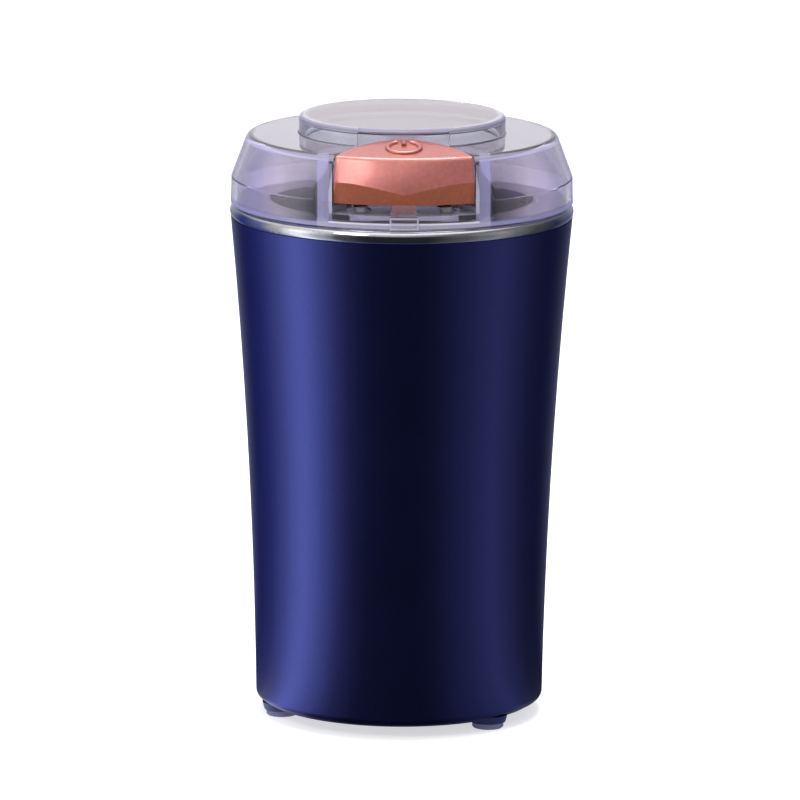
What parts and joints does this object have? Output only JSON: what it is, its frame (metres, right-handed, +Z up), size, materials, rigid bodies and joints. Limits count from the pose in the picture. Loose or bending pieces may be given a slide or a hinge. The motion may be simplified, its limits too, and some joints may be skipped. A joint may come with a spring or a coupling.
{
  "type": "electric spice grinder",
  "caption": "Countertop electric spice grinder: tapered metal sleeve, steel bowl with a bent blade on a motor shaft, clear lift-off lid and a spring button that closes the switch.",
  "frame": {"origin": "on the table, under the middle of the grinder", "axes": "+Z up along the blade's shaft, -Y towards the side with the push button, +X to the right seen from the button"},
  "size_m": [0.1007, 0.1008, 0.1779],
  "materials": {
    "sleeve_lacquer": "satin metallic lacquer",
    "polished_steel": "mirror polished",
    "clear_plastic": "clear, polished mould",
    "rose_plastic": "metallised rose gold, satin",
    "navy_plastic": "fine texture",
    "black_plastic": "moulded, satin",
    "grey_rubber": "matte",
    "black_rubber": "matte",
    "clear_silicone": "translucent",
    "zinc_steel": "zinc plated",
    "spring_steel": "drawn wire",
    "core_steel": "stacked laminations",
    "copper_wire": "enamelled winding wire",
    "brass": "machined",
    "carbon": "pressed carbon",
    "white_nylon": "moulded",
    "blue_film": "dipped film capacitor"
  },
  "bodies": {
    "housing": {"body_sleeve": "sleeve_lacquer", "grinding_bowl": "polished_steel", "bowl_collar": "black_plastic", "shaft_bush": "brass", "bowl_gasket": "black_rubber", "bowl_nut": "brass", "shaft_seal": "black_rubber", "motor_frame": "black_plastic", "base_plate": "navy_plastic", "foot_pads": "grey_rubber", "base_screws": "zinc_steel", "cord_gland": "black_rubber", "cord_clamp": "black_plastic", "clamp_screws": "zinc_steel", "capacitor": "blue_film", "microswitch": "black_plastic", "switch_screws": "zinc_steel", "upper_bracket": "zinc_steel", "lower_bracket": "zinc_steel", "upper_bearing": "polished_steel", "lower_bearing": "polished_steel", "motor_bolts": "zinc_steel", "motor_dampers": "black_rubber", "damper_screws": "zinc_steel", "stator_core": "core_steel", "field_coils": "copper_wire", "brush_holders": "brass", "carbon_brushes": "carbon", "brush_springs": "spring_steel", "push_rod_spring": "spring_steel"},
    "blade_drive": {"rotor_shaft": "polished_steel", "rotor_core": "core_steel", "rotor_windings": "copper_wire", "commutator": "copper_wire", "cooling_fan": "white_nylon", "blade_hub": "black_plastic", "grinding_blade": "polished_steel", "blade_nut": "polished_steel"},
    "lid": {"lid_cover": "clear_plastic", "lid_insert": "clear_plastic", "lid_seal": "clear_silicone", "button_springs": "spring_steel"},
    "button": {"button_cap": "rose_plastic"},
    "push_rod": {"push_rod": "white_nylon"},
    "switch_lever": {"switch_lever": "spring_steel"}
  },
  "joints": [
    {"name": "lid_lift", "type": "slide", "parent": "housing", "child": "lid", "axis": [0, 0, 1], "range_m": [0, 0.06]},
    {"name": "button_press", "type": "slide", "parent": "lid", "child": "button", "axis": [0, 0, -1], "range_m": [0, 0.0026], "stiffness_N_per_m": 800, "springref_m": -0.002, "deforming": ["button_springs"]},
    {"name": "push_rod_slide", "type": "slide", "parent": "housing", "child": "push_rod", "axis": [0, 0, -1], "range_m": [0, 0.0026], "deforming": ["push_rod_spring"]},
    {"name": "switch_lever_tilt", "type": "hinge", "parent": "housing", "child": "switch_lever", "pos_m": [0, -0.0196, 0.0964], "axis": [1, 0, 0], "range_deg": [0, 6.6]},
    {"name": "blade_spin", "type": "hinge", "parent": "housing", "child": "blade_drive", "pos_m": [0, 0, 0.1], "axis": [0, 0, 1], "continuous": true}
  ],
  "couplings": [
    {"joint": "push_rod_slide", "follows": "button_press", "ratio": 1},
    {"joint": "switch_lever_tilt", "follows": "button_press", "rad_per_m": 42.5}
  ]
}
